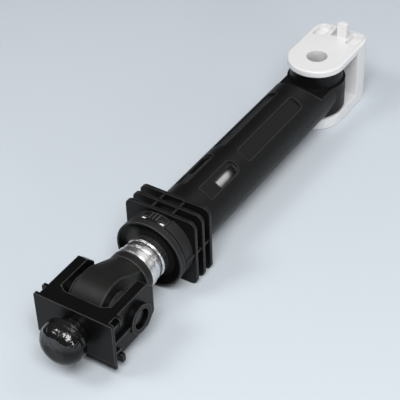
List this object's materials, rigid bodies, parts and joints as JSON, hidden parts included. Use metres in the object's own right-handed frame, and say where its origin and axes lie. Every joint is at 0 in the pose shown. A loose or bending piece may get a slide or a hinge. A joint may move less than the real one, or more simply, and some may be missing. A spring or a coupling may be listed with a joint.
{
  "type": "washing machine shock absorber",
  "caption": "Friction damper with a finned black tube, a bright sliding rod with a pivoting clip foot and a white swivel clevis, for the tub of a washing machine.",
  "frame": {"origin": "middle of the length of the clevis bore", "axes": "+X along the damper from the foot towards the back of the clevis, +Z along the clevis bore towards the tab"},
  "size_m": [0.3071, 0.0498, 0.0539],
  "materials": {
    "housing": "satin black moulding",
    "mouth_cap": "satin black moulding",
    "dust_wiper": "soft black",
    "guide_bush": "white slide plastic",
    "friction_lining": "greased foam",
    "rod_tube": "bright zinc plated steel",
    "piston_ring": "natural slide plastic",
    "rod_end": "satin black moulding",
    "pivot_bush": "dark slide plastic",
    "pivot_pin": "blackened steel",
    "foot_bracket": "satin black moulding",
    "foot_plug": "glossy black",
    "clevis": "smooth white moulding"
  },
  "bodies": {
    "housing": {"housing": "housing", "mouth_cap": "mouth_cap", "dust_wiper": "dust_wiper", "guide_bush": "guide_bush", "friction_lining": "friction_lining"},
    "piston": {"piston_ring": "piston_ring"},
    "rod": {"rod_tube": "rod_tube", "rod_end": "rod_end", "bush_left": "pivot_bush", "bush_right": "pivot_bush"},
    "foot": {"foot_bracket": "foot_bracket", "foot_plug": "foot_plug", "pivot_pin": "pivot_pin"},
    "clevis": {"clevis": "clevis"}
  },
  "joints": [
    {"name": "rod_slide", "type": "slide", "parent": "housing", "child": "piston", "axis": [-1, 0, 0], "range_m": [-0.01, 0.08]},
    {"name": "rod_turn", "type": "hinge", "parent": "piston", "child": "rod", "pos_m": [-0.1, 0, 0], "axis": [1, 0, 0], "continuous": true},
    {"name": "foot_pivot", "type": "hinge", "parent": "rod", "child": "foot", "pos_m": [-0.2277, 0, 0], "axis": [0, 1, 0], "range_deg": [-60, 60]},
    {"name": "clevis_swivel", "type": "hinge", "parent": "housing", "child": "clevis", "pos_m": [0, 0, 0], "axis": [0, 0, 1], "range_deg": [-90, 90]}
  ]
}
